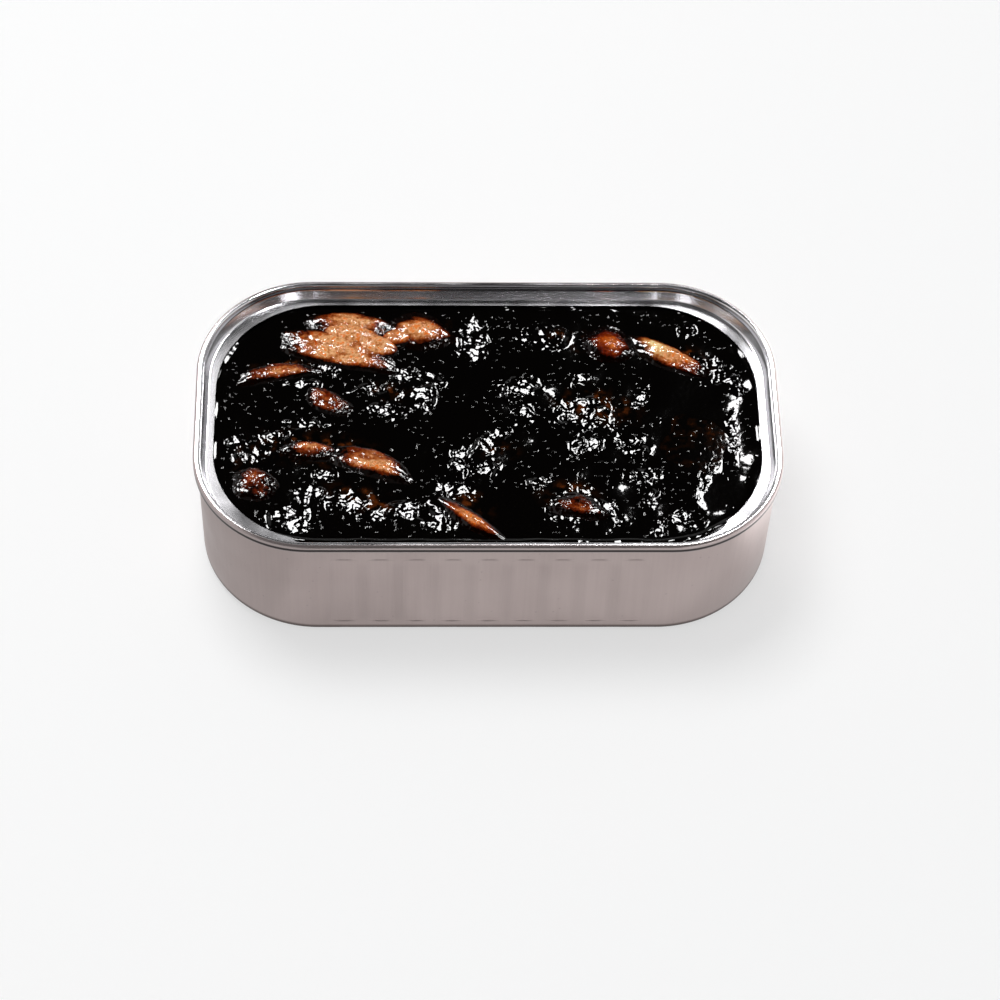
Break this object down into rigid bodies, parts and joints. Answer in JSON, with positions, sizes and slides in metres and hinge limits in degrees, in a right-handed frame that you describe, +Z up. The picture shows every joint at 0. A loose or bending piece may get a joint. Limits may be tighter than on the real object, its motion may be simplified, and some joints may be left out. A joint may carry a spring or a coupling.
{
  "type": "open oblong fish tin filled with squid in ink sauce",
  "caption": "Open oblong aluminium fish tin with a fluted drawn cup, seamed rim and torn lid ledge, full of squid pieces in glossy black ink sauce.",
  "frame": {"origin": "on the surface the tin stands on, under the middle of the tin", "axes": "+Z up, +X along the tin's long side, -Y towards the side seen from the front"},
  "size_m": [0.105, 0.06, 0.0275],
  "materials": {
    "cup_metal": "satin drawn sheet",
    "rim_metal": "bright rolled sheet",
    "ink": "wet, glossy",
    "squid": "wet, mottled"
  },
  "bodies": {
    "root": {"tin_body": "cup_metal", "end_ring": "rim_metal", "ink_sauce": "ink", "squid_01": "squid", "squid_02": "squid", "squid_03": "squid", "squid_04": "squid", "squid_05": "squid", "squid_06": "squid", "squid_07": "squid", "squid_08": "squid", "squid_09": "squid", "squid_10": "squid", "squid_11": "squid", "squid_12": "squid", "squid_13": "squid"}
  },
  "joints": []
}
